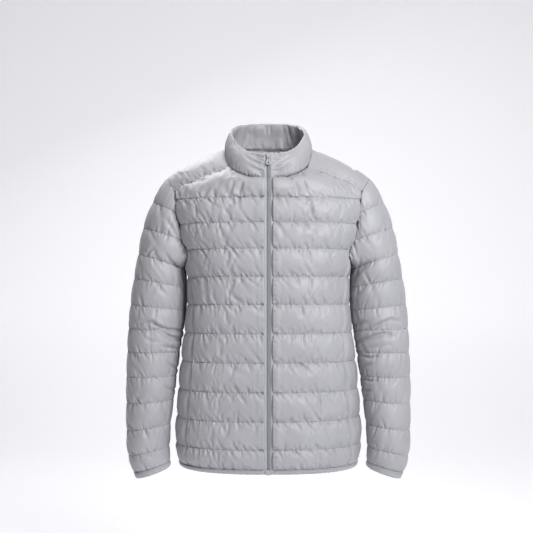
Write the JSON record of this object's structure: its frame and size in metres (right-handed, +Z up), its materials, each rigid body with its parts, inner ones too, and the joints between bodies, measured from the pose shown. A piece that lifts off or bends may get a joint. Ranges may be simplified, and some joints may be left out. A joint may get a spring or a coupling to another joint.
{
  "type": "quilted puffer jacket",
  "caption": "Quilted stand-collar jacket held open as worn, with padded baffles, long sleeves, seam pockets and a full-length front zip with a hinged pull tab.",
  "frame": {"origin": "on the centre line, level with the neck end of the shoulder, at mid depth, where the wearer's shoulders carry the jacket", "axes": "+Z up, -Y out of the front, +X towards the wearer's left arm"},
  "size_m": [0.6102, 0.2813, 0.7686],
  "materials": {
    "nylon_shell": "satin woven nylon",
    "zip_tape": "matte woven tape",
    "zip_teeth": "coil teeth under woven cloth",
    "painted_metal": "satin paint"
  },
  "bodies": {
    "garment": {"front_left": "nylon_shell", "side_left": "nylon_shell", "yoke_left": "nylon_shell", "sleeve_left": "nylon_shell", "cuff_binding_left": "nylon_shell", "pocket_welt_left": "nylon_shell", "zip_tape_left": "zip_tape", "front_right": "nylon_shell", "side_right": "nylon_shell", "yoke_right": "nylon_shell", "sleeve_right": "nylon_shell", "cuff_binding_right": "nylon_shell", "pocket_welt_right": "nylon_shell", "zip_tape_right": "zip_tape", "back": "nylon_shell", "collar": "nylon_shell", "hem_binding": "nylon_shell", "zip_chain": "zip_teeth", "zip_slider": "painted_metal", "zip_end_box": "painted_metal"},
    "pull_tab": {"zip_pull_tab": "painted_metal"}
  },
  "joints": [
    {"name": "pull_tab_swing", "type": "hinge", "parent": "garment", "child": "pull_tab", "pos_m": [0, -0.09169, -0.02807], "axis": [-1, 0, 0], "range_deg": [0, 150]}
  ]
}
